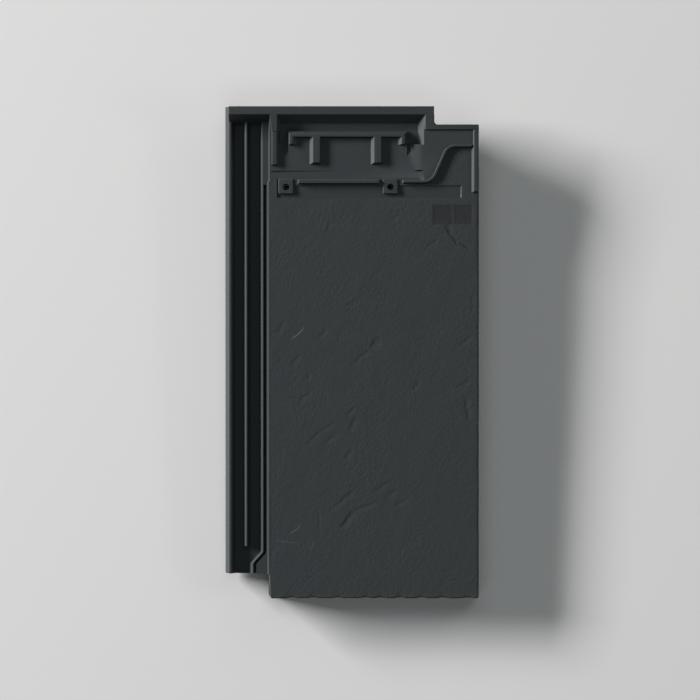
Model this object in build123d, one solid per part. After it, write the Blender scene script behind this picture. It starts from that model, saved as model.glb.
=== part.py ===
from build123d import *
import math
import os

# A flat interlocking clay roof tile, pressed and fired in one piece.
# It is drawn square, +X towards the cover flap, +Y towards the head, +Z up, in millimetres, with
# z = 0 in the plane of the batten tops. At the end it is laid on a level floor, where its nibs
# and the foot of its tail touch, and the origin is the middle of its outline on that floor.

# Overall length, and how laid tiles step across and overlap
overall_length = 465.0
cover_width = 200.0
head_lap = 85.0
joint_gap = 1.5
side_clearance = 2.0
lap_clearance = 0.5
rib_clearance = 1.5

# Levels and thicknesses
slab_top = 22.0
plate_thickness = 12.0
flap_thickness = 8.5
lock_rim_height = 13.0
lock_floor = 7.0
relief_rise = 2.5
shoulder_rise = 1.4
pad_rise = 0.8
lug_step = 0.4
pan_drop = 0.5
channel_drop = 5.0
strip_drop = 1.2
strip_step = 0.6
lap_gutter_drop = 0.9

# Under-lock along the left side, from its outer edge to the slab
outer_wall_run = 3.7
rim_width = 2.4
rim_inner_run = 3.3
outer_channel_width = 8.0
rib_run = 2.4
rib_crest = 1.4
inner_channel_width = 9.2
inner_rib_run = 2.7
inner_rib_crest = 0.9
groove_width = 2.5
slab_wall_run = 2.6

# Tail end of the under-lock, measured up from the tail
lock_setback = 23.0
rib_end_from_tail = 49.0
bend_from_tail = 43.0
bend_shift = 9.5
bend_drop = 10.5
bend_radius = 5.0
lock_round = 0.7

# Slab
tail_lip = 10.0
tail_wall_run = 0.6
tail_left_taper = 0.9
tail_corner = 3.0
plan_corner = 1.6
notch_corner = 4.0
edge_round = 1.5
neck_inset = 1.0

# Head rim and head channel
head_rim_width = 7.6
head_rim_run = 8.5
lock_slope_run = 10.0
head_channel_width = 7.4
head_end_inset = 0.4
head_end_width = 8.1
head_end_run = 6.5
flap_head_inset = 17.2
flap_rim_width = 4.6
flap_rim_run = 1.3

# Bar and legs below the head channel
bar_width = 3.0
bar_flank = 2.2
bar_left_inset = 19.8
bar_right_inset = 28.1
end_leg_width = 2.8
end_leg_run = 8.5
end_leg_reach = 6.9
leg_inset = 22.2
leg_width = 6.4
leg_reach = 24.3
leg_left_run = 3.4
leg_right_run = 0.9
leg_end_run = 2.0
relief_round = 0.5

# Lugs, gutters and the shoulder on the right
left_lug_inset = 3.2
left_lug_width = 4.4
left_lug_reach = 31.5
lug_west_run = 1.6
lug_east_run = 3.4
lug_end_run = 2.4
gutter_width = 7.3
gutter_reach = 24.0
lap_gutter_width = 6.7
lap_gutter_run = 70.0
shoulder_inset = 9.9
shoulder_run = 5.6
right_lug_width = 5.0
right_lug_run = 17.0
right_lug_reach = 23.5
right_lug_from_channel = 13.0

# Lap ridge, strip, nail pads
ridge_from_head = 67.5
ridge_width = 7.2
ridge_slope = 27.0
s_ridge_width = 6.2
s_rise = 33.9
s_lean = 15.0
s_foot_inset = 44.5
s_foot_radius = 12.0
s_top_radius = 11.0
strip_width = 11.4
strip_end_run = 1.4
strip_right_inset = 16.4
pad_left_inset = 8.5
pad_right_inset = 33.9
pad_width = 15.4
pad_length = 15.8
pad_corner = 1.6
pad_slope = 18.0
ridge_gap = 2.4
nail_hole = 6.2
hole_from_ridge = 8.6

# Right-hand rim
right_rim_width = 3.4
right_rim_run = 2.4
right_rim_inset = 1.2
right_rim_outer_run = 0.8
right_rim_reach = 63.0

# Ribs under the cover flap
flap_rib_width = 4.6
flap_rib_tip = 2.8
flap_rib_round = 0.8

# Nibs, batten and the ribs under the plate
nib_width = 34.0
nib_length = 13.0
nib_draft = 1.5
nib_round = 2.0
nib_from_head = 30.0
nib_inset = 9.0
nib_drop = 11.0
batten_width = 50.0
lap_rib_width = 4.0
web_width = 9.0
web_run = 2.0
stiffener_count = 2
stiffener_drop = 4.5
stiffener_width = 9.0
stiffener_end = 6.0

# Stations across the tile
lock_width = (
    outer_wall_run + rim_width + rim_inner_run + outer_channel_width + 2 * rib_run + rib_crest
    + inner_channel_width + inner_rib_run + inner_rib_crest + groove_width + slab_wall_run
)
overall_width = cover_width - joint_gap + lock_width
left = -overall_width / 2
right = overall_width / 2
rim_outer_x = left + outer_wall_run
rim_inner_x = rim_outer_x + rim_width
channel_1_left = rim_inner_x + rim_inner_run
channel_1_right = channel_1_left + outer_channel_width
rib_left_x = channel_1_right + rib_run
rib_right_x = rib_left_x + rib_crest
channel_2_left = rib_right_x + rib_run
channel_2_right = channel_2_left + inner_channel_width
inner_rib_left = channel_2_right + inner_rib_run
inner_rib_right = inner_rib_left + inner_rib_crest
groove_x = inner_rib_right + groove_width / 2
slab_left = left + lock_width
neck_left = slab_left + neck_inset
flap_left = left + cover_width - side_clearance
head_right = flap_left - head_end_inset
shoulder_left = flap_left - shoulder_inset
pan_left = slab_left + left_lug_inset + left_lug_width
field_left = pan_left + lug_east_run + gutter_width
bar_left = slab_left + bar_left_inset
bar_right = flap_left - bar_right_inset
pad_left_x = slab_left + pad_left_inset + pad_width / 2
pad_right_x = flap_left - pad_right_inset - pad_width / 2

# Stations along the tile
head = overall_length / 2
tail = -overall_length / 2
gauge = overall_length - head_lap
lock_bottom = tail + lock_setback
bend_y = tail + bend_from_tail
rim_south = head - head_rim_width
channel_north = rim_south - head_rim_run
channel_south = channel_north - head_channel_width
bar_north = channel_south - bar_flank
bar_south = bar_north - bar_width
gutter_end = channel_south - gutter_reach
flap_head = head - flap_head_inset
ridge_north = head - ridge_from_head
ridge_south = ridge_north - ridge_width
strip_south = ridge_south - strip_width
hole_y = ridge_north - hole_from_ridge
nib_south = head - nib_from_head - nib_length
batten_foot = nib_south - batten_width

# Levels
plate_bottom = slab_top - plate_thickness
flap_bottom = slab_top - flap_thickness
relief_top = slab_top + relief_rise
lug_top = relief_top - lug_step
shoulder_top = slab_top + shoulder_rise
pan_floor = slab_top - pan_drop
channel_floor = slab_top - channel_drop
strip_floor = slab_top - strip_drop
pad_top = slab_top + pad_rise
tail_foot = strip_floor - relief_top - lap_clearance
lap_rib_foot = tail_foot + lap_clearance
overlap = 1.0


def block(x0, x1, y0, y1, z0, z1):
    """Plain block between two corners."""
    return Pos((x0 + x1) / 2, (y0 + y1) / 2, (z0 + z1) / 2) * Box(x1 - x0, y1 - y0, z1 - z0)


def outline(points, radii=0.0):
    """Flat face over a closed outline, with its corners rounded by one radius or a list of them."""
    if radii == 0.0:
        return make_face(Polyline(*points, close=True))
    return make_face(FilletPolyline(*points, radius=radii, close=True))


def along_y(points, y_from, y_to, radii=0.0):
    """Profile given as (x, z) points, run from one y to another."""
    plane = Plane(origin=(0, y_to, 0), x_dir=(1, 0, 0), z_dir=(0, -1, 0))
    return extrude(plane * outline(points, radii), y_to - y_from)


def along_x(points, x_from, x_to):
    """Profile given as (y, z) points, run from one x to another."""
    plane = Plane(origin=(x_from, 0, 0), x_dir=(0, 1, 0), z_dir=(1, 0, 0))
    return extrude(plane * outline(points), x_to - x_from)


def between(low_points, low, high_points, high):
    """Flat-sided solid between two outlines of as many points, at two levels."""
    bottom = [Vector(x, y, low) for x, y in low_points]
    top = [Vector(x, y, high) for x, y in high_points]
    faces = [Face(Wire.make_polygon(ring, close=True)) for ring in (bottom, top)]
    for i, corner in enumerate(bottom):
        j = (i + 1) % len(bottom)
        faces.append(Face(Wire.make_polygon([corner, bottom[j], top[j], top[i]], close=True)))
    return Solid(Shell(faces))


def rectangle(x0, x1, y0, y1):
    """The four corners of an upright rectangle in plan."""
    return [(x0, y0), (x1, y0), (x1, y1), (x0, y1)]


def raised(x0, x1, y0, y1, floor, top, west=0.0, east=0.0, south=0.0, north=0.0):
    """Boss with the given flat end, whose sides lean out by their own runs at its floor and go on below."""
    sink = math.copysign(overlap, floor - top)
    on = (floor + sink - top) / (floor - top)
    low = rectangle(x0 - west * on, x1 + east * on, y0 - south * on, y1 + north * on)
    return between(low, floor + sink, rectangle(x0, x1, y0, y1), top)


def rounded_top(boss, sharp=()):
    """The boss with the edges of its flat top rounded, apart from those whose middles are given as sharp."""
    edges = boss.faces().sort_by(Axis.Z)[-1].edges()
    middles = [Vector(*point) for point in sharp]
    kept = [edge for edge in edges if all((edge.center() - middle).length > overlap for middle in middles)]
    return fillet(kept, relief_round)


def slab_outline():
    """Plan of the slab with its flap, which stops short of the head."""
    points = [
        (neck_left, head),
        (neck_left, ridge_north - neck_inset),
        (slab_left, ridge_north - 3 * neck_inset),
        (slab_left, lock_bottom),
        (slab_left + tail_left_taper, tail),
        (right, tail),
        (right, flap_head),
        (head_right, flap_head),
        (head_right, head),
    ]
    tiny = neck_inset / 2
    flap_corners = [plan_corner, plan_corner, notch_corner]
    return outline(points, [tiny, tiny, tiny, tiny, tail_corner, *flap_corners, tiny])


def slab():
    """Plate with its flap and its thick tail, rounded where the weather side turns down."""
    plate = extrude(Pos(0, 0, tail_foot) * slab_outline(), slab_top - tail_foot)
    free = [edge for edge in plate.faces().sort_by(Axis.Z)[-1].edges()
            if edge.center().X > flap_left or edge.center().Y < lock_bottom]
    plate = fillet(free, edge_round)
    room = 2 * overlap
    plate -= block(left, flap_left, tail + tail_lip, head + room, tail_foot - room, plate_bottom)
    plate -= block(flap_left, right + room, tail + tail_lip, head + room, tail_foot - room, flap_bottom)
    return plate


def slab_walls():
    """Drafted wall between the under-lock and the slab, upright on its plate side."""
    inner = slab_left + web_width
    lower = [(slab_left - slab_wall_run, 0), (slab_left - slab_wall_run, lock_floor), (slab_left, slab_top),
             (inner, slab_top), (inner, 0)]
    neck = [(neck_left - slab_wall_run, 0), (neck_left - slab_wall_run, lock_floor), (neck_left, slab_top),
            (inner, slab_top), (inner, 0)]
    foot = [(slab_left - tail_wall_run, tail_foot), (slab_left, slab_top - edge_round),
            (inner, slab_top - edge_round), (inner, tail_foot)]
    turn = ridge_north - 3 * neck_inset
    walls = along_y(lower, lock_bottom, turn) + along_y(neck, turn, rim_south)
    return walls + along_y(foot, tail + tail_corner, lock_bottom)


def under_lock():
    """Two channels, the rib between them and the outer rim, open at the tail end."""
    inner = slab_left + overlap
    profile = [
        (left, 0),
        (rim_outer_x, lock_rim_height),
        (rim_inner_x, lock_rim_height),
        (channel_1_left, lock_floor),
        (inner, lock_floor),
        (inner, 0),
    ]
    corners = [0, lock_round, lock_round, lock_round, 0, 0]
    rib = [
        (channel_1_right, lock_floor),
        (rib_left_x, lock_rim_height),
        (rib_right_x, lock_rim_height),
        (channel_2_left, lock_floor),
        (channel_2_left, lock_floor - overlap),
        (channel_1_right, lock_floor - overlap),
    ]
    rib_round = rib_crest * 0.45
    lock = along_y(profile, lock_bottom, rim_south, corners)
    return lock + along_y(rib, tail + rib_end_from_tail, rim_south, [0, rib_round, rib_round, 0, 0, 0])


def ledge_outline(edge):
    """Plan of the ledge beside the slab, whose free edge bends aside near the tail."""
    return [
        (edge, rim_south),
        (edge, bend_y),
        (edge - bend_shift, bend_y - bend_drop),
        (edge - bend_shift, lock_bottom),
        (slab_left + overlap, lock_bottom),
        (slab_left + overlap, rim_south),
    ]


def drain_groove():
    """Narrow groove that follows the slab and bends out to the tail end of the lock."""
    route = FilletPolyline(
        (groove_x, ridge_south + overlap),
        (groove_x, bend_y),
        (groove_x - bend_shift, bend_y - bend_drop),
        (groove_x - bend_shift, lock_bottom - overlap),
        radius=bend_radius,
    )
    return extrude(Pos(0, 0, lock_floor) * trace(route, groove_width), lock_rim_height)


def inner_ledge():
    """Ledge at rim height along the slab, cut by the drain groove to leave the inner rib."""
    low_edge = channel_2_right - inner_rib_run * overlap / (lock_rim_height - lock_floor)
    ledge = between(ledge_outline(low_edge), lock_floor - overlap,
                    ledge_outline(inner_rib_left), lock_rim_height)
    return ledge - drain_groove()


def head_hollow():
    """Space below the head rim: the pan, its gutters, the channel across and the one behind the lap ridge."""
    high = slab_top + overlap
    outside = neck_left - slab_wall_run
    hollow = block(pan_left, shoulder_left, ridge_north, channel_north, pan_floor, high)
    hollow += block(outside, pan_left, ridge_north, channel_south - left_lug_reach, pan_floor, high)
    hollow += block(pan_left, shoulder_left, channel_south, rim_south, channel_floor, high)
    ramp = [
        (channel_north, channel_floor),
        (channel_north, high),
        (gutter_end, high),
        (gutter_end, pan_floor),
        (channel_south, channel_floor),
    ]
    hollow += along_x(ramp, pan_left, field_left) + along_x(ramp, bar_right + bar_flank, shoulder_left)
    lap_gutter = [
        (outside, pan_floor - lap_gutter_drop),
        (neck_left + lap_gutter_run, pan_floor),
        (neck_left + lap_gutter_run, high),
        (outside, high),
    ]
    return hollow + along_y(lap_gutter, ridge_north, ridge_north + lap_gutter_width)


def head_rim():
    """Raised rim across the head, sloping to the head channel and further down to the under-lock."""
    channel_side = [
        (head, plate_bottom),
        (head, relief_top),
        (rim_south, relief_top),
        (channel_north, channel_floor),
        (channel_north, plate_bottom),
    ]
    lock_side = [
        (head, 0),
        (head, relief_top),
        (rim_south, relief_top),
        (rim_south - lock_slope_run, lock_floor),
        (rim_south - lock_slope_run, 0),
    ]
    rim = along_x(channel_side, neck_left, head_right) + along_x(lock_side, left, neck_left)
    room = 2 * overlap
    high = relief_top + overlap
    trim = along_y([(left - room, 0), (left, 0), (rim_outer_x, lock_rim_height), (rim_outer_x, high),
                    (left - room, high)], rim_south - lock_slope_run - room, head + room)
    return rim - trim


def head_end():
    """Return of the head rim down the right end, and the lower rim along the head of the flap."""
    x0 = head_right - head_end_width
    y0 = flap_head - flap_rim_width
    rims = raised(x0, head_right, y0, head, channel_floor, relief_top, west=head_end_run)
    rims += raised(x0, right - right_rim_inset, y0, flap_head, slab_top, relief_top,
                   south=flap_rim_run, east=right_rim_outer_run)
    return rims


def head_border():
    """Head rim and its return as one, rounded but for the edge above the head channel."""
    over_channel = ((neck_left + head_right - head_end_width) / 2, rim_south, relief_top)
    return rounded_top(head_rim() + head_end(), [over_channel])


def head_frame():
    """Bar below the head channel with two short end legs, gentle on their inner sides, and two long legs."""
    leg_a = bar_left + leg_inset + leg_width / 2
    leg_b = bar_right - leg_inset - leg_width / 2
    frame = raised(bar_left, bar_right, bar_south, bar_north, channel_floor, relief_top,
                   west=bar_flank, east=bar_flank, south=bar_flank, north=bar_flank)
    ends = ((bar_left, bar_flank, end_leg_run), (bar_right - end_leg_width, end_leg_run, bar_flank))
    for x, west, east in ends:
        frame += raised(x, x + end_leg_width, bar_south - end_leg_reach, bar_north, channel_floor, relief_top,
                        west=west, east=east, south=bar_flank)
    for x in (leg_a, leg_b):
        frame += raised(x - leg_width / 2, x + leg_width / 2, bar_south - leg_reach, bar_north,
                        pan_floor, relief_top, west=leg_left_run, east=leg_right_run, south=leg_end_run)
    return rounded_top(frame)


def head_lugs():
    """Lug at the left of the hollow, which flares into the head rim, and the swelling of the shoulder."""
    x0 = slab_left + left_lug_inset
    left_lug = raised(x0, pan_left, channel_south - left_lug_reach, channel_south + 2 * overlap,
                      channel_floor, lug_top, west=lug_west_run, east=lug_east_run, south=lug_end_run)
    flare_head = rim_south + overlap
    flare = [(x0, channel_south), (pan_left, channel_south), (pan_left, flare_head), (neck_left, flare_head)]
    flare_foot = [(x0 - lug_west_run, channel_south), (pan_left + lug_east_run, channel_south),
                  (pan_left + lug_east_run, flare_head), (neck_left - lug_west_run, flare_head)]
    y1 = channel_south - right_lug_from_channel
    inside = shoulder_left + overlap
    right_lug = raised(shoulder_left - right_lug_width, inside, y1 - right_lug_reach, y1, channel_floor,
                       shoulder_top, west=right_lug_run, south=lug_end_run, north=lug_end_run)
    bank = raised(shoulder_left, inside, (ridge_south + ridge_north) / 2, y1, channel_floor, shoulder_top,
                  west=right_lug_run)
    flared = rounded_top(left_lug) + between(flare_foot, channel_floor, flare, relief_top)
    return flared + right_lug + bank


def s_route():
    """Middle line of the ridge that leaves the lap ridge and climbs to the right-hand rim."""
    mid_y = (ridge_south + ridge_north) / 2
    foot_x = right - s_foot_inset
    return FilletPolyline(
        (pad_right_x + pad_width / 2 + ridge_gap, mid_y),
        (foot_x, mid_y),
        (foot_x + s_lean, mid_y + s_rise),
        (right - right_rim_inset - right_rim_width, mid_y + s_rise),
        radius=[s_foot_radius, s_top_radius],
    )


def shoulder():
    """Flat that fills the corner above the S-shaped ridge, a little above the slab."""
    mid_y = (ridge_south + ridge_north) / 2
    foot_x = right - s_foot_inset
    edge = right - right_rim_width
    high = [
        (shoulder_left, flap_head - overlap),
        (shoulder_left, mid_y),
        (foot_x, mid_y),
        (foot_x + s_lean, mid_y + s_rise),
        (edge, mid_y + s_rise),
        (edge, flap_head - overlap),
    ]
    drop = shoulder_run / (shoulder_top - channel_floor) * (shoulder_top - plate_bottom - overlap)
    low = [(shoulder_left - drop, flap_head - overlap), (shoulder_left - drop, mid_y)] + high[2:]
    return between(low, plate_bottom + overlap, high, shoulder_top)


def lap_ridges():
    """Ridge that stops water under the next course: a straight length and the S-shaped one."""
    x0 = pad_left_x + pad_width / 2 + ridge_gap
    x1 = pad_right_x - pad_width / 2 - overlap
    foot = slab_top - strip_drop - overlap
    straight = Pos((x0 + x1) / 2, (ridge_south + ridge_north) / 2, foot) * Rectangle(x1 - x0, ridge_width)
    curved = Pos(0, 0, foot) * trace(s_route(), s_ridge_width)
    height = relief_top - foot
    return extrude(straight, height, taper=ridge_slope) + extrude(curved, height, taper=ridge_slope)


def right_rim():
    """Rim down the outer edge of the flap."""
    x1 = right - right_rim_inset
    rim = raised(x1 - right_rim_width, x1, flap_head - right_rim_reach, flap_head - flap_rim_width,
                 slab_top, relief_top, west=right_rim_run, east=right_rim_outer_run, south=flap_rim_run)
    return rounded_top(rim)


def nail_pads():
    """Raised pads around the nail holes."""
    pads = Part()
    foot = strip_floor - overlap
    plan = RectangleRounded(pad_width, pad_length, pad_corner)
    for x in (pad_left_x, pad_right_x):
        place = Pos(x, ridge_north - pad_length / 2, foot)
        pads += rounded_top(extrude(place * plan, pad_top - foot, taper=pad_slope))
    return pads


def nail_holes():
    """Two holes in line, straight through the pads and the plate."""
    holes = Part()
    for x in (pad_left_x, pad_right_x):
        holes += Pos(x, hole_y, slab_top / 2) * Cylinder(nail_hole / 2, 2 * slab_top)
    return holes


def lap_strip():
    """Wedge-shaped seat across the slab, deepest at its lower side, for the tail of the next course."""
    high = slab_top + overlap
    fall = (strip_drop - strip_step) / strip_width
    x1 = right - strip_right_inset
    seat = Part()
    for x_end, y_end in ((x1, ridge_south), (pad_left_x, ridge_north)):
        profile = [
            (strip_south, strip_floor),
            (y_end, strip_floor + fall * (y_end - strip_south)),
            (y_end, high),
            (strip_south, high),
        ]
        seat += along_x(profile, pan_left, x_end)
    drafted = [
        (pan_left, strip_floor),
        (x1 - strip_end_run, strip_floor),
        (x1, slab_top),
        (x1, high),
        (pan_left, high),
    ]
    return seat & along_y(drafted, strip_south, ridge_north)


def flap_ribs():
    """Ribs under the cover flap that run in the two channels of the neighbouring tile."""
    tip = lock_floor + rib_clearance
    ribs = Part()
    for x0, x1 in ((channel_1_left, channel_1_right), (channel_2_left, channel_2_right)):
        x = (x0 + x1) / 2 + cover_width
        profile = [
            (x - flap_rib_width / 2, flap_bottom + overlap),
            (x - flap_rib_width / 2, flap_bottom),
            (x - flap_rib_tip / 2, tip),
            (x + flap_rib_tip / 2, tip),
            (x + flap_rib_width / 2, flap_bottom),
            (x + flap_rib_width / 2, flap_bottom + overlap),
        ]
        ribs += along_y(profile, tail + tail_lip - overlap, flap_head - notch_corner,
                        [0, 0, flap_rib_round, flap_rib_round, 0, 0])
    return ribs


def nibs():
    """Two hanging nibs that hook over the batten, square on their bearing side."""
    both = Part()
    y1 = head - nib_from_head
    for x0 in (slab_left + web_width + nib_inset, flap_left - web_width - nib_inset - nib_width):
        nib = raised(x0, x0 + nib_width, nib_south, y1, plate_bottom, -nib_drop,
                     west=nib_draft, east=nib_draft, north=nib_draft)
        upright = [edge for edge in nib.edges() if abs(edge.tangent_at(0.5).Z) > 0.9]
        both += fillet([edge for edge in upright if edge.center().Y > nib_south + overlap], nib_round)
    return both


def lap_ribs():
    """Cross ribs that drop behind the head bars of the course below."""
    targets = ((channel_north + channel_south) / 2, (ridge_north + gutter_end) / 2)
    ribs = Part()
    for y in targets:
        ribs += block(slab_left + web_width - overlap, flap_left - overlap, y - gauge - lap_rib_width / 2,
                      y - gauge + lap_rib_width / 2, lap_rib_foot, plate_bottom + overlap)
    return ribs


def stiffeners():
    """Bearing rib along the right side of the plate and shallow ribs between the two sides."""
    ribs = raised(flap_left - web_width, flap_left - overlap, tail + tail_lip - overlap, rim_south,
                  plate_bottom, 0, west=web_run, east=overlap)
    low = plate_bottom - stiffener_drop
    first = (channel_north + channel_south) / 2 - gauge
    inner_left = slab_left + web_width
    step = (flap_left - web_width - inner_left) / (stiffener_count + 1)
    for i in range(stiffener_count):
        x = inner_left + (i + 1) * step
        ribs += raised(x - stiffener_width / 2, x + stiffener_width / 2, first, batten_foot - stiffener_end,
                       plate_bottom, low, west=web_run, east=web_run, north=web_run)
    return ribs


def roof_tile():
    """The whole fired tile as one solid."""
    tile = slab() + slab_walls() + under_lock() + inner_ledge()
    tile -= head_hollow()
    tile -= lap_strip()
    for form in (head_border, shoulder, head_frame, head_lugs, lap_ridges, right_rim, nail_pads):
        tile += form()
    for form in (flap_ribs, nibs, lap_ribs, stiffeners):
        tile += form()
    tile -= nail_holes()
    return tile


def laid_on_floor(shape):
    """The tile turned until its nibs and the foot of its tail touch a level floor, and centred."""
    rise = math.degrees(math.atan2(tail_foot + nib_drop, nib_south - tail))
    turned = Rotation(rise, 0, 0) * shape
    box = turned.bounding_box()
    middle = box.center()
    return Pos(-middle.X, -middle.Y, -box.min.Z) * turned


os.makedirs("parts", exist_ok=True)
export_step(laid_on_floor(roof_tile()).solid(), "parts/roof_tile.step")
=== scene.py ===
"""A flat interlocking clay roof tile, lying on a studio floor and seen square from above."""

import logging
import math
from dataclasses import dataclass, field
from enum import Enum
from typing import Any, Sequence

import bmesh
import bpy
from mathutils import Matrix, Vector
from mathutils.kdtree import KDTree


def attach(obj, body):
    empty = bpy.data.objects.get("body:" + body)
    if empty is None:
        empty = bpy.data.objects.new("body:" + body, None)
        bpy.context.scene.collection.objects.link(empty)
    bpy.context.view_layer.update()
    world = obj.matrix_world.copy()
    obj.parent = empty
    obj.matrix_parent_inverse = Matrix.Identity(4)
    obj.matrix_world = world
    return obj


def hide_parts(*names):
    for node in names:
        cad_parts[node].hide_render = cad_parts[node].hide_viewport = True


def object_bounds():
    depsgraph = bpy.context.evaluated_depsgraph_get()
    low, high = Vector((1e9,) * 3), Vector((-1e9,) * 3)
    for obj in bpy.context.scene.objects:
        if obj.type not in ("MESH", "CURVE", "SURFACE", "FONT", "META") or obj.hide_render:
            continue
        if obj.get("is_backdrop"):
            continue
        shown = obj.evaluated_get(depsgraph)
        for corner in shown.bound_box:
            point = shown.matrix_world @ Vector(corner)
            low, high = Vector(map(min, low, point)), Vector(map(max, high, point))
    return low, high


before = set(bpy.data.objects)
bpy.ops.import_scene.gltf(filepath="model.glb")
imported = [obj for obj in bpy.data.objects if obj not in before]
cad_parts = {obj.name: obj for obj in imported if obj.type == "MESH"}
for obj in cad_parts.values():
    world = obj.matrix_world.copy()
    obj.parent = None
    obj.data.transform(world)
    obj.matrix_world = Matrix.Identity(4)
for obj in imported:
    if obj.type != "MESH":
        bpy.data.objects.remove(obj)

MM = 0.001
MM_PER_METRE = 1000.0
NOISE_MIDDLE = 0.5
NODE = "roof_tile"
BODY = "root"

log = logging.getLogger("roof tile")

Colour = tuple[float, float, float, float]


class Weight(Enum):
    """Vertex weights that the relief and the engobe read."""

    RIVEN = "riven"
    TAIL = "tail_break"
    FLANK = "flank_break"
    STAMP = "stamp_field"


class Signal:
    """A value socket that takes part in plain arithmetic."""

    def __init__(self, graph: "Graph", socket: bpy.types.NodeSocket) -> None:
        """Wraps one output socket.

        Args:
            graph: The tree that the socket is in.
            socket: The output socket of a node.
        """
        self.graph = graph
        self.socket = socket

    def _math(self, operation: str, *values: Any) -> "Signal":
        """Adds one Math node.

        Args:
            operation: The node's operation.
            values: Its inputs in order.

        Returns:
            The node's result.
        """
        sockets = dict(enumerate(values))
        return self.graph.node("ShaderNodeMath", {"operation": operation}, sockets).out(0)

    def __add__(self, other: Any) -> "Signal":
        """Sum."""
        return self._math("ADD", self, other)

    __radd__ = __add__

    def __sub__(self, other: Any) -> "Signal":
        """Difference."""
        return self._math("SUBTRACT", self, other)

    def __rsub__(self, other: Any) -> "Signal":
        """Difference, taken from a number."""
        return self._math("SUBTRACT", other, self)

    def __mul__(self, other: Any) -> "Signal":
        """Product."""
        return self._math("MULTIPLY", self, other)

    __rmul__ = __mul__

    def __truediv__(self, other: Any) -> "Signal":
        """Quotient."""
        return self._math("DIVIDE", self, other)

    def __rtruediv__(self, other: Any) -> "Signal":
        """Quotient of a number by this."""
        return self._math("DIVIDE", other, self)

    def __pow__(self, other: Any) -> "Signal":
        """Power."""
        return self._math("POWER", self, other)

    def __rpow__(self, other: Any) -> "Signal":
        """A number to the power of this."""
        return self._math("POWER", other, self)

    def __neg__(self) -> "Signal":
        """The same with its sign turned."""
        return self * -1.0

    def __abs__(self) -> "Signal":
        """Size without its sign."""
        return self._math("ABSOLUTE", self)

    def least(self, other: Any) -> "Signal":
        """The smaller of two."""
        return self._math("MINIMUM", self, other)

    def most(self, other: Any) -> "Signal":
        """The larger of two."""
        return self._math("MAXIMUM", self, other)

    def ease(self, low: float, high: float) -> "Signal":
        """Smooth step from 0 at one value to 1 at another.

        Args:
            low: Where the step begins.
            high: Where it ends.

        Returns:
            The eased value.
        """
        settings = {"interpolation_type": "SMOOTHSTEP"}
        return self.graph.node("ShaderNodeMapRange", settings, {0: self, 1: low, 2: high}).out(0)


class Made:
    """A node that has just been made."""

    def __init__(self, graph: "Graph", node: bpy.types.Node) -> None:
        """Keeps the node with its tree."""
        self.graph = graph
        self.raw = node

    def out(self, key: int | str) -> Signal:
        """One of its outputs, by place, identifier or name."""
        return Signal(self.graph, Graph.socket(self.raw.outputs, key))


class Graph:
    """Adds nodes to one shader or geometry tree."""

    def __init__(self, tree: bpy.types.NodeTree) -> None:
        """Keeps the tree."""
        self.tree = tree

    @staticmethod
    def socket(sockets: Any, key: int | str) -> bpy.types.NodeSocket:
        """Finds a socket.

        Args:
            sockets: A node's inputs or outputs.
            key: Its place, identifier or name.

        Returns:
            The socket.
        """
        if isinstance(key, int):
            return sockets[key]
        for candidate in sockets:
            if candidate.identifier == key:
                return candidate
        return sockets[key]

    def node(self, kind: str, settings: dict[str, Any] | None = None,
             sockets: dict[int | str, Any] | None = None) -> Made:
        """Makes any node: its settings first, then the values or links of its sockets.

        Args:
            kind: The node's type.
            settings: Its properties.
            sockets: Values or links for its inputs, by place, identifier or name.

        Returns:
            The node.
        """
        raw = self.tree.nodes.new(kind)
        for name, value in (settings or {}).items():
            setattr(raw, name, value)
        for key, value in (sockets or {}).items():
            entry = self.socket(raw.inputs, key)
            if isinstance(value, Signal):
                self.tree.links.new(value.socket, entry)
            else:
                entry.default_value = value
        return Made(self, raw)

    def weight(self, name: Weight) -> Signal:
        """A vertex weight, read in a shader tree."""
        return self.node("ShaderNodeAttribute", {"attribute_name": name.value}).out("Fac")

    def blend(self, factor: Signal | float, first: Any, second: Any) -> Signal:
        """Mixes two colours.

        Args:
            factor: 0 for the first, 1 for the second.
            first: A colour or a link.
            second: A colour or a link.

        Returns:
            The mixed colour.
        """
        sockets = {"Factor_Float": factor, "A_Color": first, "B_Color": second}
        return self.node("ShaderNodeMix", {"data_type": "RGBA"}, sockets).out("Result_Color")


@dataclass(frozen=True)
class Stroke:
    """A thin curved line on the face.

    Its middle, length, bow and width are in millimetres, and its angle counts from +X. It is full within
    core widths of its middle line and gone at rim widths, and it tapers from a share of its half length on.
    """

    x: float
    y: float
    length: float
    angle: float
    bow: float
    width: float
    core: float = 0.4
    rim: float = 1.6
    taper: float = 0.5

    def mark(self, x: Signal, y: Signal) -> Signal:
        """Strength of the line.

        Args:
            x: Place across the tile in millimetres.
            y: Place along the tile in millimetres.

        Returns:
            1 on its line and 0 off it.
        """
        turn = math.radians(self.angle)
        side_x = x - self.x
        side_y = y - self.y
        along = (side_x * math.cos(turn) + side_y * math.sin(turn)) / (self.length / 2)
        across = side_x * math.sin(turn) - side_y * math.cos(turn) - (1.0 - along * along) * self.bow
        body = 1.0 - (abs(across) / self.width).ease(self.core, self.rim)
        return body * (1.0 - abs(along).ease(self.taper, 1.0))


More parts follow.
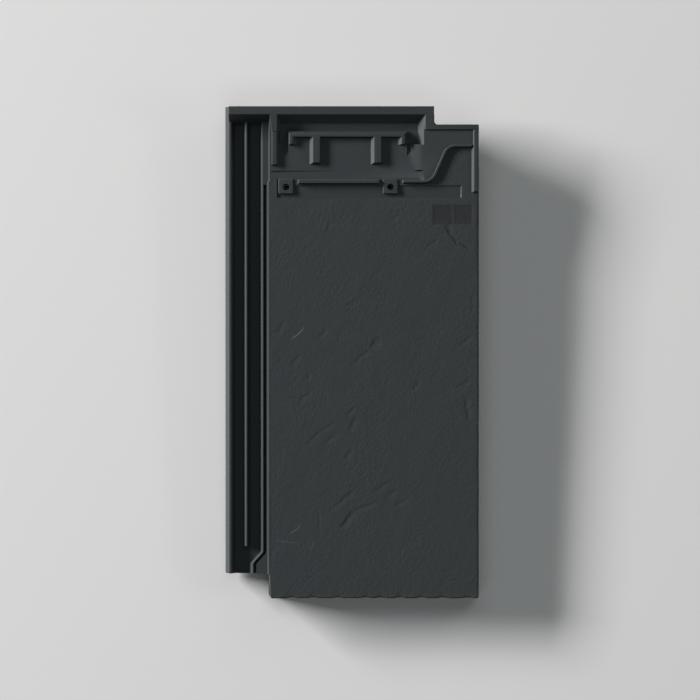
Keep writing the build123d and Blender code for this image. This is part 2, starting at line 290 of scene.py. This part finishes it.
@dataclass(frozen=True)
class Engobe:
    """Satin slate-grey engobe fired on a clay body, worn to the clay where the tail is broken, with pale
    scratches and painted shade darkening the lines of the clefts.
    """

    name: str = "slate_engobe"
    colour: Colour = (0.0330, 0.0385, 0.0405, 1.0)
    cool: Colour = (0.0325, 0.0385, 0.0425, 1.0)
    warm: Colour = (0.0370, 0.0385, 0.0395, 1.0)
    stamp: Colour = (0.0225, 0.0240, 0.0260, 1.0)
    body: Colour = (0.0480, 0.0430, 0.0410, 1.0)
    scratched: Colour = (0.0900, 0.1000, 0.1030, 1.0)
    # painted shade: a dark colour drawn into the steps of the clefts, where their shade falls
    painted_cleft_shade: Colour = (0.0120, 0.0140, 0.0150, 1.0)
    scratches: tuple[Stroke, ...] = (
        Stroke(-51.4, 18.4, 19.0, 42.0, 1.2, 0.5),
        Stroke(-53.6, -166.7, 17.0, 38.0, 1.2, 0.35),
        Stroke(-60.6, -179.0, 26.0, -6.0, 0.3, 0.2),
        Stroke(-38.0, -183.0, 12.0, 60.0, 0.6, 0.2),
    )
    # painted shade: lines that lie on the clefts near the top right and darken their steps
    cleft_shade_strokes: tuple[Stroke, ...] = (
        Stroke(89.7, 116.1, 15.0, -67.0, 0.4, 0.5),
        Stroke(95.4, 106.2, 15.0, -54.0, -0.4, 0.5),
        Stroke(105.6, 100.8, 14.0, -30.0, 0.3, 0.4),
        Stroke(75.6, 104.5, 13.0, 32.0, 0.6, 0.15),
    )
    drift_range: tuple[float, float] = (0.35, 0.65)
    speckle_range: tuple[float, float] = (0.3, 0.8)
    drift_share: float = 0.5
    bare_share: float = 0.6
    roughness: float = 0.62
    roughness_swing: float = 0.10
    specular: float = 0.3
    patch_size: float = 90.0
    speckle_size: float = 1.1
    grain_size: float = 0.55
    grain_share: float = 0.6
    grain_height: float = 0.035
    pebble_angle: float = 57.0
    pebble_long: float = 3.1
    pebble_short: float = 2.6
    pebble_height: float = 0.19
    pebble_patch: float = 34.0
    pebble_range: tuple[float, float] = (0.4, 0.65)
    pebble_least: float = 0.6
    pebble_swing: float = 0.7

    def material(self) -> bpy.types.Material:
        """Builds the finish.

        Returns:
            The material.
        """
        made = bpy.data.materials.new(self.name)
        made.use_nodes = True
        made.node_tree.nodes.clear()
        graph = Graph(made.node_tree)
        place = graph.node("ShaderNodeTexCoord").out("Object")
        patches = self._noise(graph, place, self.patch_size, detail=2.0)
        speckle = self._noise(graph, place, self.speckle_size, detail=3.0)
        grain = self._noise(graph, place, self.grain_size, detail=4.0)
        surface = graph.node("ShaderNodeBsdfPrincipled", None, {
            "Base Color": self._tint(graph, place, patches, speckle),
            "Roughness": self.roughness + (patches - NOISE_MIDDLE) * self.roughness_swing
            + (speckle - NOISE_MIDDLE) * self.roughness_swing,
            "Specular IOR Level": self.specular,
            "Normal": self._bump(graph, grain, speckle, self._pebble(graph, place)),
        })
        graph.node("ShaderNodeOutputMaterial", None, {"Surface": surface.out("BSDF")})
        return made

    def _noise(self, graph: Graph, place: Signal, size: float, detail: float) -> Signal:
        """Noise whose lumps are about one size in millimetres."""
        sockets = {"Vector": place, "Scale": 1.0 / (size * MM), "Detail": detail}
        return graph.node("ShaderNodeTexNoise", None, sockets).out(0)

    @staticmethod
    def _drawn(graph: Graph, place: Signal, strokes: Sequence[Stroke]) -> Signal:
        """Strength of thin lines on the riven face.

        Args:
            graph: The shader tree.
            place: Object coordinates.
            strokes: The lines.

        Returns:
            1 on the lines and 0 off them.
        """
        parts = graph.node("ShaderNodeSeparateXYZ", None, {0: place})
        x, y = parts.out(0) * MM_PER_METRE, parts.out(1) * MM_PER_METRE
        marks = [stroke.mark(x, y) for stroke in strokes]
        total = marks[0]
        for mark in marks[1:]:
            total = total.most(mark)
        return total * graph.weight(Weight.RIVEN)

    def _tint(self, graph: Graph, place: Signal, patches: Signal, speckle: Signal) -> Signal:
        """Colour of the engobe with its drift, speckle, stamp fields, pale scratches, painted shade along the
        clefts and bare clay.

        Args:
            graph: The shader tree.
            place: Object coordinates.
            patches: Slow noise.
            speckle: Fine noise.

        Returns:
            The colour.
        """
        drift = graph.blend(patches.ease(*self.drift_range), self.cool, self.warm)
        ground = graph.blend(speckle.ease(*self.speckle_range) * self.drift_share, self.colour, drift)
        stamped = graph.blend(graph.weight(Weight.STAMP), ground, self.stamp)
        scratched = graph.blend(self._drawn(graph, place, self.scratches), stamped, self.scratched)
        # painted shade along the cleft steps
        painted_cleft_shade = graph.blend(self._drawn(graph, place, self.cleft_shade_strokes), scratched, self.painted_cleft_shade)
        bare = graph.weight(Weight.TAIL) * self.bare_share
        return graph.blend(bare, painted_cleft_shade, self.body)

    def _pebble(self, graph: Graph, place: Signal) -> Signal:
        """Small lumps, drawn out along the split, only where the face is riven.

        Args:
            graph: The shader tree.
            place: Object coordinates.

        Returns:
            Their height around 0.
        """
        turned = graph.node("ShaderNodeMapping", {"vector_type": "TEXTURE"}, {
            "Vector": place,
            "Rotation": (0.0, 0.0, math.radians(self.pebble_angle)),
            "Scale": (self.pebble_long * MM, self.pebble_short * MM, self.pebble_short * MM),
        }).out(0)
        sockets = {"Vector": turned, "Scale": 1.0, "Detail": 2.0}
        lumps = graph.node("ShaderNodeTexNoise", None, sockets).out(0)
        patches = self._noise(graph, place, self.pebble_patch, detail=1.0)
        strength = self.pebble_least + patches.ease(*self.pebble_range) * self.pebble_swing
        return (lumps - NOISE_MIDDLE) * strength * graph.weight(Weight.RIVEN)

    def _bump(self, graph: Graph, grain: Signal, speckle: Signal, pebble: Signal) -> Signal:
        """Lumps of the riven face and fine grain of the fired surface.

        Args:
            graph: The shader tree.
            grain: The finest noise.
            speckle: Fine noise.
            pebble: The lumps.

        Returns:
            The bent normal.
        """
        fine = (grain * self.grain_share + speckle * (1.0 - self.grain_share)) * self.grain_height
        height = (fine + pebble * self.pebble_height) * MM
        return graph.node("ShaderNodeBump", None, {"Height": height, "Distance": 1.0}).out("Normal")


@dataclass(frozen=True)
class Cleft:
    """One step in the riven face: a steep way down beside a line, then a slow way back up.

    Lengths are in millimetres. The angle counts from +X, and the step is on the right of the line.
    With a depth below 0 it is a ridge.
    """

    x: float
    y: float
    length: float
    angle: float
    depth: float
    steep: float = 1.0
    fade: float = 6.0


@dataclass
class RivenRelief:
    """Geometry Nodes tree that splits the slab like slate, breaks its edges and sinks the stamp fields."""

    grain_angle: float = 57.0
    grain_long: float = 6.5
    grain_short: float = 4.2
    grain_height: float = 0.13
    ripple_long: float = 34.0
    ripple_short: float = 20.0
    ripple_height: float = 0.32
    swell_size: float = 120.0
    swell_height: float = 0.5
    warp_size: float = 30.0
    nick_pitch: float = 24.0
    nick_tall: float = 30.0
    nick_reach: float = 1.5
    nick_sharpness: float = 3.0
    nick_depth: float = 0.45
    break_grit: float = 0.5
    grit_size: float = 3.0
    grit_drop: float = 0.3
    edge_drop: float = 0.2
    wander_long: float = 5.0
    wander_wide: float = 4.0
    jag_long: float = 1.6
    cleft_taper: float = 0.45
    seed: float = 7.0
    ripple_seed: float = 3.0
    swell_seed: float = 5.0
    notches: tuple[float, ...] = (-56.6, -36.6, -12.7, 14.0, 27.3, 46.0, 66.0, 86.0, 110.2)
    notch_run: float = 6.5
    notch_depth: float = 1.15
    stamp_left: float = 77.3
    stamp_right: float = 114.0
    stamp_divider: float = 96.1
    stamp_bottom: float = 120.8
    stamp_top: float = 139.0
    stamp_bar: float = 0.9
    stamp_edge: float = 0.6
    stamp_calm: float = 0.8
    stamp_depth: float = 0.18
    clefts: tuple[Cleft, ...] = (
        Cleft(90.6, 115.5, 15.0, 108.0, 0.22, 1.0, 6.0),
        Cleft(95.6, 106.0, 12.0, 127.0, 0.24, 1.0, 6.0),
        Cleft(105.0, 100.6, 15.0, 148.0, 0.24, 1.0, 6.0),
        Cleft(75.6, 104.5, 13.0, 32.0, 0.14),
        Cleft(-26.0, 119.0, 9.0, 75.0, -0.18, 0.9, 3.0),
        Cleft(-19.0, 123.0, 9.0, 10.0, 0.16, 1.0, 4.0),
        Cleft(39.8, 128.0, 8.0, 35.0, 0.22, 1.0, 4.0),
        Cleft(0.8, 48.8, 17.0, 22.0, 0.14),
        Cleft(-68.2, 24.9, 19.0, 66.0, 0.18),
        Cleft(-28.6, 18.8, 15.0, 50.0, 0.16),
        Cleft(18.2, 8.6, 10.0, 66.0, 0.24, 1.0, 10.0),
        Cleft(23.4, 14.4, 9.0, 14.0, 0.24, 1.0, 10.0),
        Cleft(106.7, 12.6, 17.0, 40.0, 0.26),
        Cleft(10.8, -0.3, 15.0, 27.0, 0.20),
        Cleft(2.0, -8.0, 12.0, 48.0, 0.16),
        Cleft(-54.6, -6.2, 16.0, 52.0, 0.18),
        Cleft(-55.0, -23.0, 7.0, 60.0, -0.24, 0.9, 2.0),
        Cleft(-48.0, -24.0, 6.0, 80.0, -0.22, 0.9, 2.0),
        Cleft(-42.0, -22.0, 7.0, 65.0, 0.26, 0.9, 4.0),
        Cleft(-45.1, -39.9, 18.0, 44.0, 0.18),
        Cleft(58.9, -31.0, 13.0, 62.0, 0.20),
        Cleft(104.6, -28.5, 22.0, 28.0, 0.20),
        Cleft(112.6, 46.0, 20.0, 86.0, 0.18, 1.0, 5.0),
        Cleft(107.2, -53.4, 28.0, 97.0, 0.26, 1.0, 7.0),
        Cleft(-2.5, -54.3, 14.0, 37.0, 0.20),
        Cleft(-0.8, -66.6, 17.0, 62.0, 0.26, 1.0, 7.0),
        Cleft(-23.0, -68.5, 19.0, 28.0, 0.18),
        Cleft(-37.1, -79.6, 24.0, 46.0, 0.18),
        Cleft(-19.9, -79.8, 20.0, 35.0, 0.18),
        Cleft(-4.1, -94.7, 14.0, 47.0, 0.24),
        Cleft(28.2, -125.3, 27.0, 30.0, 0.20),
        Cleft(37.4, -131.7, 15.0, 36.0, 0.18),
        Cleft(46.6, -139.9, 15.0, 24.0, 0.18),
        Cleft(-10.0, -138.5, 32.0, 40.0, 0.22),
        Cleft(12.6, -144.2, 28.0, 20.0, 0.24),
        Cleft(-5.8, -157.1, 24.0, 54.0, 0.36, 1.1, 8.0),
        Cleft(-31.9, -160.4, 28.0, 90.0, 0.18, 0.9, 3.0),
    )

    def tree(self, finish: bpy.types.Material) -> bpy.types.GeometryNodeTree:
        """Builds the tree.

        Args:
            finish: The material that the tree sets.

        Returns:
            The geometry tree.
        """
        made = bpy.data.node_groups.new("riven_relief", "GeometryNodeTree")
        made.interface.new_socket(name="Geometry", in_out="INPUT", socket_type="NodeSocketGeometry")
        for name, value in self._inputs().items():
            entry = made.interface.new_socket(name=name, in_out="INPUT", socket_type="NodeSocketFloat")
            entry.default_value = value
        made.interface.new_socket(name="Geometry", in_out="OUTPUT", socket_type="NodeSocketGeometry")
        graph = Graph(made)
        given = graph.node("NodeGroupInput")
        x, y, z = self._place(graph)
        slab, stamp = self._slab(graph, given, x, y)
        sockets = {"Geometry": given.out(0), "Offset": self._offset(graph, given, x, y, z, slab)}
        moved = graph.node("GeometryNodeSetPosition", None, sockets).out(0)
        settings = {"data_type": "FLOAT", "domain": "POINT"}
        sockets = {"Geometry": moved, "Name": Weight.STAMP.value, "Value": stamp}
        marked = graph.node("GeometryNodeStoreNamedAttribute", settings, sockets).out(0)
        real = graph.node("GeometryNodeRealizeInstances", None, {0: marked}).out(0)
        dressed = graph.node("GeometryNodeSetMaterial", None, {0: real, "Material": finish}).out(0)
        graph.node("NodeGroupOutput", None, {0: dressed})
        return made

    def _inputs(self) -> dict[str, float]:
        """Named inputs of the tree.

        Returns:
            Their values by name.
        """
        return {
            "Grain Height": self.grain_height,
            "Ripple Height": self.ripple_height,
            "Swell Height": self.swell_height,
            "Notch Depth": self.notch_depth,
            "Nick Depth": self.nick_depth,
            "Stamp Depth": self.stamp_depth,
            "Seed": self.seed,
        }

    @staticmethod
    def _read(graph: Graph, weight: Weight) -> Signal:
        """A vertex weight, read in a geometry tree."""
        settings = {"data_type": "FLOAT"}
        return graph.node("GeometryNodeInputNamedAttribute", settings, {"Name": weight.value}).out(0)

    @staticmethod
    def _place(graph: Graph) -> tuple[Signal, Signal, Signal]:
        """The point's place.

        Args:
            graph: The tree.

        Returns:
            Its three coordinates in millimetres.
        """
        position = graph.node("GeometryNodeInputPosition").out(0)
        parts = graph.node("ShaderNodeSeparateXYZ", None, {0: position})
        return parts.out(0) * MM_PER_METRE, parts.out(1) * MM_PER_METRE, parts.out(2) * MM_PER_METRE

    @staticmethod
    def _noise(graph: Graph, vector: Sequence[Any], detail: float) -> Signal:
        """Noise around 0, from about -0.5 to 0.5.

        Args:
            graph: The tree.
            vector: Three coordinates, in units of the lumps' size.
            detail: How many finer layers it has.

        Returns:
            The noise.
        """
        point = graph.node("ShaderNodeCombineXYZ", None, dict(enumerate(vector))).out(0)
        sockets = {"Vector": point, "Scale": 1.0, "Detail": detail}
        return graph.node("ShaderNodeTexNoise", None, sockets).out(0) - NOISE_MIDDLE

    def _slab(self, graph: Graph, given: Made, x: Signal, y: Signal) -> tuple[Signal, Signal]:
        """Height of the riven face below the flat slab, and the two blank stamp fields.

        Args:
            graph: The tree.
            given: The tree's inputs.
            x: Place across the tile in millimetres.
            y: Place along the tile in millimetres.

        Returns:
            The height in millimetres and the stamp's weight.
        """
        seed = given.out("Seed")
        turn = math.radians(self.grain_angle)
        along = x * math.cos(turn) + y * math.sin(turn)
        across = y * math.cos(turn) - x * math.sin(turn)
        warp = self._noise(graph, (x / self.warp_size, y / self.warp_size, seed), detail=2.0)
        place = (along / self.grain_long + warp, across / self.grain_short, seed)
        grain = self._noise(graph, place, detail=3.0)
        place = (along / self.ripple_long, across / self.ripple_short + warp, seed + self.ripple_seed)
        ripple = self._noise(graph, place, detail=3.0)
        place = (x / self.swell_size, y / self.swell_size, seed + self.swell_seed)
        swell = self._noise(graph, place, detail=1.0)
        height = grain * given.out("Grain Height") + ripple * given.out("Ripple Height")
        height = height + swell * given.out("Swell Height")
        for cleft in self.clefts:
            height = height - self._cleft(graph, cleft, x, y, seed)
        stamp = self._stamp(x, y)
        calm = 1.0 - stamp * self.stamp_calm
        return height * calm - stamp * given.out("Stamp Depth"), stamp

    def _cleft(self, graph: Graph, cleft: Cleft, x: Signal, y: Signal, seed: Signal) -> Signal:
        """Depth of one cleft.

        Args:
            graph: The tree.
            cleft: Its place and size.
            x: Place across the tile in millimetres.
            y: Place along the tile in millimetres.
            seed: The tree's seed.

        Returns:
            The depth in millimetres.
        """
        turn = math.radians(cleft.angle)
        side_x = x - cleft.x
        side_y = y - cleft.y
        along = side_x * math.cos(turn) + side_y * math.sin(turn)
        across = side_x * math.sin(turn) - side_y * math.cos(turn)
        wander = self._noise(graph, (along / self.wander_long, seed, cleft.x), detail=2.0) * self.wander_wide
        jag = self._noise(graph, (along / self.jag_long, seed, cleft.y), detail=1.0)
        across = across + wander + jag
        half = cleft.length / 2
        window = 1.0 - (abs(along) / half).ease(self.cleft_taper, 1.0)
        step = across.ease(0.0, cleft.steep) * (1.0 - across.ease(cleft.steep, cleft.fade))
        return step * window * cleft.depth

    def _stamp(self, x: Signal, y: Signal) -> Signal:
        """Weight of the two blank fields that lie side by side near the top right corner.

        Args:
            x: Place across the tile in millimetres.
            y: Place along the tile in millimetres.

        Returns:
            1 in the fields and 0 outside.
        """
        middle = (self.stamp_left + self.stamp_right) / 2
        half = (self.stamp_right - self.stamp_left) / 2
        inside_x = half - abs(x - middle)
        bar = abs(x - self.stamp_divider) - self.stamp_bar / 2
        centre = (self.stamp_bottom + self.stamp_top) / 2
        inside_y = (self.stamp_top - self.stamp_bottom) / 2 - abs(y - centre)
        return inside_x.least(bar).least(inside_y).ease(-self.stamp_edge, self.stamp_edge)

    def _offset(self, graph: Graph, given: Made, x: Signal, y: Signal, z: Signal, slab: Signal) -> Signal:
        """How far each point moves.

        Args:
            graph: The tree.
            given: The tree's inputs.
            x: Place across the tile in millimetres.
            y: Place along the tile in millimetres.
            z: Place above the slab in millimetres.
            slab: Height of the riven face in millimetres.

        Returns:
            The offset as a vector in metres.
        """
        riven = self._read(graph, Weight.RIVEN)
        tail = self._read(graph, Weight.TAIL)
        flank = self._read(graph, Weight.FLANK)
        seed = given.out("Seed")
        bite = self._notched(x) * given.out("Notch Depth") * tail
        nick = self._bite(graph, y, z, seed) * given.out("Nick Depth") * flank
        place = (x / self.grit_size, y / self.grit_size, z / self.grit_size)
        crumble = self._noise(graph, place, detail=2.0) * self.break_grit
        drop = slab * riven - (bite + nick) * self.edge_drop + crumble * tail.least(riven) * self.grit_drop
        sockets = {0: -nick * MM, 1: (bite + abs(crumble) * tail) * MM, 2: drop * MM}
        return graph.node("ShaderNodeCombineXYZ", None, sockets).out(0)

    def _notched(self, x: Signal) -> Signal:
        """Row of notches in the tail edge.

        Args:
            x: Place across the tile in millimetres.

        Returns:
            1 at their bottoms and 0 between them.
        """
        cuts = [1.0 - (abs(x - notch) / self.notch_run).ease(0.0, 1.0) for notch in self.notches]
        total = cuts[0]
        for cut in cuts[1:]:
            total = total.most(cut)
        return total

    def _bite(self, graph: Graph, run: Signal, z: Signal, seed: Signal) -> Signal:
        """Row of shallow scallops along an edge.

        Args:
            graph: The tree.
            run: Place along the edge in millimetres.
            z: Place above the slab in millimetres.
            seed: The tree's seed.

        Returns:
            0 at their crowns and about 1 between them.
        """
        sockets = {0: run / self.nick_pitch + seed, 1: z / self.nick_tall}
        point = graph.node("ShaderNodeCombineXYZ", None, sockets).out(0)
        settings = {"voronoi_dimensions": "2D", "feature": "F1"}
        scallops = graph.node("ShaderNodeTexVoronoi", settings, {"Vector": point, "Scale": 1.0})
        return (scallops.out("Distance") * self.nick_reach).least(1.0) ** self.nick_sharpness

    def apply(self, piece: bpy.types.Object, finish: bpy.types.Material) -> None:
        """Runs the tree on the piece and leaves a plain mesh.

        Args:
            piece: The tile.
            finish: Its material.
        """
        tree = self.tree(finish)
        modifier = piece.modifiers.new("riven relief", "NODES")
        modifier.node_group = tree
        values = self._inputs()
        for entry in tree.interface.items_tree:
            if entry.in_out == "INPUT" and entry.name in values:
                modifier[entry.identifier] = values[entry.name]
        graph = bpy.context.evaluated_depsgraph_get()
        split = bpy.data.meshes.new_from_object(piece.evaluated_get(graph), depsgraph=graph)
        piece.modifiers.clear()
        piece.data = split


@dataclass
class RoofTile:
    """The tile: a copy of its CAD solid with a fine face, riven and dressed."""

    face_cell: float = 1.15
    weld: float = 0.002
    snap: float = 0.0002
    upright: float = 0.9
    level_slack: float = 0.01
    flat_angle: float = 0.6
    smooth_angle: float = 32.0
    tail_reach: float = 7.0
    tail_drop: float = 14.0
    flank_reach: float = 4.0
    flank_drop: float = 5.0
    border_fade: float = 2.4
    edge_reach: float = 1.7
    relief: RivenRelief = field(default_factory=RivenRelief)
    finish: Engobe = field(default_factory=Engobe)

    def build(self, node: bpy.types.Object) -> bpy.types.Object:
        """Makes the dressed tile from its CAD node.

        Args:
            node: The CAD node's object.

        Returns:
            The piece.
        """
        shape = bmesh.new()
        shape.from_mesh(node.data)
        bmesh.ops.remove_doubles(shape, verts=shape.verts, dist=self.weld * MM)
        square = self._square_up(shape)
        shape.transform(square)
        flat = math.radians(self.flat_angle)
        bmesh.ops.dissolve_limit(shape, angle_limit=flat, verts=shape.verts, edges=shape.edges)
        self._weigh(shape, self._fine_face(shape))
        mesh = bpy.data.meshes.new("fired_tile")
        bmesh.ops.triangulate(shape, faces=[face for face in shape.faces if len(face.verts) > 4])
        shape.to_mesh(mesh)
        shape.free()
        mesh.attributes.remove(mesh.attributes["custom_normal"])
        piece = bpy.data.objects.new("fired_tile", mesh)
        bpy.context.scene.collection.objects.link(piece)
        self.relief.apply(piece, self.finish.material())
        piece.data.transform(square.inverted())
        piece.data.polygons.foreach_set("use_smooth", [True] * len(piece.data.polygons))
        piece.data.set_sharp_from_angle(angle=math.radians(self.smooth_angle))
        return piece

    def _square_up(self, shape: bmesh.types.BMesh) -> Matrix:
        """Finds the move that squares the tile up, with its slab level at height 0 and its outline centred.

        Args:
            shape: The tile as it lies on the floor.

        Returns:
            The move as a matrix.
        """
        upward = [face for face in shape.faces if face.normal.z > self.upright]
        slab = max(upward, key=lambda face: face.calc_area())
        lean = Matrix.Rotation(math.atan2(slab.normal.y, slab.normal.z), 4, "X")
        corners = [lean @ vert.co for vert in shape.verts]
        middle = [(min(c[i] for c in corners) + max(c[i] for c in corners)) / 2 for i in range(2)]
        level = (lean @ slab.calc_center_median()).z
        return Matrix.Translation((-middle[0], -middle[1], -level)) @ lean

    def _fine_face(self, shape: bmesh.types.BMesh) -> set[bmesh.types.BMFace]:
        """Cuts the slab's face and the walls at its free edges into small cells.

        Args:
            shape: The tile, squared up.

        Returns:
            The cells.
        """
        right = max(vert.co.x for vert in shape.verts)
        tail = min(vert.co.y for vert in shape.verts)
        rim = self.edge_reach * MM

        def belongs(face: bmesh.types.BMFace) -> bool:
            """Whether a face is at the slab's level or on the upper part of a free wall.

            Args:
                face: The face.

            Returns:
                True where it is.
            """
            corners = [vert.co for vert in face.verts]
            level = all(abs(c.z) < self.level_slack * MM for c in corners)
            at_right = all(c.x > right - rim for c in corners)
            at_tail = all(c.y < tail + rim for c in corners)
            return level or ((at_right or at_tail) and max(c.z for c in corners) > -rim)

        patch = {face for face in shape.faces if belongs(face)}
        for axis in (0, 1, 2):
            patch = self._slice(shape, patch, axis)
        return patch

    def _slice(self, shape: bmesh.types.BMesh, patch: set[bmesh.types.BMFace],
               axis: int) -> set[bmesh.types.BMFace]:
        """Cuts faces by planes one cell apart.

        Args:
            shape: The tile.
            patch: The faces to cut.
            axis: 0 to cut across, 1 along and 2 down.

        Returns:
            The faces that they became.
        """
        span = [vert.co[axis] for face in patch for vert in face.verts]
        count = max(1, round((max(span) - min(span)) / (self.face_cell * MM)))
        step = (max(span) - min(span)) / count
        normal = Vector([float(i == axis) for i in range(3)])
        waiting, done = set(patch), set()
        for i in range(1, count):
            level = min(span) + i * step
            cut = bmesh.ops.bisect_plane(shape, geom=self._closure(waiting), dist=self.snap * MM,
                                         plane_co=normal * level, plane_no=normal)
            pieces = {part for part in cut["geom"] if isinstance(part, bmesh.types.BMFace)}
            beyond = level + self.snap * MM
            waiting = {part for part in pieces if max(v.co[axis] for v in part.verts) > beyond}
            done |= pieces - waiting
        return done | waiting

    @staticmethod
    def _closure(faces: set[bmesh.types.BMFace]) -> list[Any]:
        """The faces with their edges and corners.

        Args:
            faces: The faces.

        Returns:
            All of them in one list.
        """
        edges = {edge for face in faces for edge in face.edges}
        verts = {vert for face in faces for vert in face.verts}
        return [*verts, *edges, *faces]

    def _weigh(self, shape: bmesh.types.BMesh, patch: set[bmesh.types.BMFace]) -> None:
        """Writes how far each corner takes part in the riven face and in the broken edges.

        Args:
            shape: The tile, with its fine face.
            patch: The faces of the fine face.
        """
        layers = {weight: shape.verts.layers.float.new(weight.value) for weight in Weight}
        right = max(vert.co.x for vert in shape.verts)
        tail = min(vert.co.y for vert in shape.verts)
        corners = {vert for face in patch for vert in face.verts}
        border = [vert for vert in corners if any(face not in patch for face in vert.link_faces)]
        near = KDTree(len(border))
        for i, vert in enumerate(border):
            near.insert(vert.co, i)
        near.balance()
        for vert in corners:
            inside = self._ease(near.find(vert.co)[2] / (self.border_fade * MM))
            below = -vert.co.z / MM
            to_tail = (vert.co.y - tail) / MM
            to_flank = (right - vert.co.x) / MM
            shallow = self._ease(1 - below / self.flank_drop)
            deep = self._ease(1 - below / self.tail_drop)
            vert[layers[Weight.RIVEN]] = inside * shallow
            vert[layers[Weight.TAIL]] = inside * self._ease(1 - to_tail / self.tail_reach) * deep
            vert[layers[Weight.FLANK]] = inside * self._ease(1 - to_flank / self.flank_reach) * shallow

    @staticmethod
    def _ease(value: float) -> float:
        """Smooth step from 0 to 1."""
        held = min(max(value, 0.0), 1.0)
        return held * held * (3 - 2 * held)


@dataclass(frozen=True)
class Softbox:
    """A rectangular studio light, far enough away that it lights the whole tile alike.

    Its width and height are the angles it fills, seen from the tile. Its strength is the light that reaches a
    face turned to it, in watts a square metre.
    """

    name: str
    azimuth: float
    elevation: float
    width: float
    height: float
    strength: float
    colour: tuple[float, float, float] = (1.0, 1.0, 1.0)
    distance: float = 8.0

    def hang(self) -> None:
        """Adds the light. Azimuth 0 is the head side, and it counts clockwise seen from above."""
        made = bpy.data.lights.new(self.name, "AREA")
        made.shape = "RECTANGLE"
        made.size = 2 * self.distance * math.tan(math.radians(self.width) / 2)
        made.size_y = 2 * self.distance * math.tan(math.radians(self.height) / 2)
        made.energy = self.strength * math.pi * self.distance ** 2
        made.color = self.colour
        lamp = bpy.data.objects.new(self.name, made)
        around, up = math.radians(self.azimuth), math.radians(self.elevation)
        away = Vector((math.sin(around) * math.cos(up), math.cos(around) * math.cos(up), math.sin(up)))
        lamp.rotation_euler = away.to_track_quat("Z", "Y").to_euler()
        lamp.location = away * self.distance
        bpy.context.scene.collection.objects.link(lamp)


@dataclass
class Studio:
    """Pale floor and soft light, most of it low from the left."""

    floor_side: float = 24.0
    floor_colour: Colour = (0.79, 0.76, 0.75, 1.0)
    floor_roughness: float = 0.9
    floor_specular: float = 0.2
    sky_colour: Colour = (0.90, 0.95, 1.0, 1.0)
    sky_strength: float = 0.02
    lamps: tuple[Softbox, ...] = (
        Softbox("key", -66.0, 14.2, 30.0, 8.0, 8.2, (0.98, 0.99, 1.0)),
        Softbox("right_fill", 95.0, 17.0, 16.0, 5.0, 0.35),
        Softbox("head_fill", 45.0, 20.0, 30.0, 20.0, 0.34),
        Softbox("over_head", 0.0, 58.0, 60.0, 24.0, 0.34, (0.86, 0.99, 1.0)),
        Softbox("over_tail", 180.0, 58.0, 60.0, 24.0, 0.34, (0.86, 0.99, 1.0)),
    )

    def build(self) -> bpy.types.Object:
        """Adds the floor, the lights and the sky.

        Returns:
            The floor.
        """
        floor = self._floor()
        for lamp in self.lamps:
            lamp.hang()
        sky = bpy.data.worlds.new("studio")
        sky.use_nodes = True
        sky.node_tree.nodes.clear()
        graph = Graph(sky.node_tree)
        sockets = {"Color": self.sky_colour, "Strength": self.sky_strength}
        glow = graph.node("ShaderNodeBackground", None, sockets)
        graph.node("ShaderNodeOutputWorld", None, {"Surface": glow.out(0)})
        bpy.context.scene.world = sky
        bpy.context.scene.view_settings.view_transform = "Standard"
        return floor

    def _floor(self) -> bpy.types.Object:
        """Makes the floor with its matt paint.

        Returns:
            The floor.
        """
        half = self.floor_side / 2
        outline = [(-half, -half, 0), (half, -half, 0), (half, half, 0), (-half, half, 0)]
        mesh = bpy.data.meshes.new("studio_floor")
        mesh.from_pydata(outline, [], [(0, 1, 2, 3)])
        paint = bpy.data.materials.new("floor_paint")
        paint.use_nodes = True
        paint.node_tree.nodes.clear()
        graph = Graph(paint.node_tree)
        matt = graph.node("ShaderNodeBsdfPrincipled", None, {
            "Base Color": self.floor_colour,
            "Roughness": self.floor_roughness,
            "Specular IOR Level": self.floor_specular,
        })
        graph.node("ShaderNodeOutputMaterial", None, {"Surface": matt.out(0)})
        mesh.materials.append(paint)
        floor = bpy.data.objects.new("studio_floor", mesh)
        bpy.context.scene.collection.objects.link(floor)
        return floor


@dataclass(frozen=True)
class OverheadCamera:
    """Camera straight above the tile, far enough away that its view is nearly parallel."""

    picture_pixels: float = 700.0
    pixel_size: float = 0.9432
    centre_pixel_x: float = 351.85
    centre_pixel_y: float = 352.4
    distance: float = 4.0
    sensor: float = 36.0
    far: float = 100.0

    def build(self, level: float) -> bpy.types.Object:
        """Adds the camera.

        Args:
            level: Height of the slab's face, which the scale holds for, in metres.

        Returns:
            The camera.
        """
        made = bpy.data.cameras.new("overhead")
        made.sensor_width = self.sensor
        made.lens = self.sensor * self.distance / (self.picture_pixels * self.pixel_size * MM)
        made.clip_end = self.far
        camera = bpy.data.objects.new("overhead", made)
        half = self.picture_pixels / 2
        x = (half - self.centre_pixel_x) * self.pixel_size * MM
        y = (self.centre_pixel_y - half) * self.pixel_size * MM
        camera.location = (x, y, self.distance + level)
        bpy.context.scene.collection.objects.link(camera)
        bpy.context.scene.camera = camera
        return camera


def corners(box: tuple[Vector, Vector]) -> list[list[float]]:
    """A box's lowest and highest corner as plain lists."""
    return [[float(value) for value in corner] for corner in box]


def main() -> None:
    """Builds the tile and its studio."""
    solid_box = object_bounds()
    tile = RoofTile().build(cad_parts[NODE])
    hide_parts(NODE)
    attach(tile, BODY)
    log.info("%s: %d faces", tile.name, len(tile.data.polygons))
    Studio().build()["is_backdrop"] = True
    log.info("studio ready")
    OverheadCamera().build(solid_box[1].z)
    log.info("camera ready")
    {"cad": corners(solid_box), "visual": corners(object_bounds())}


if __name__ == "__main__":
    logging.basicConfig(level=logging.INFO, format="%(message)s")
    main()
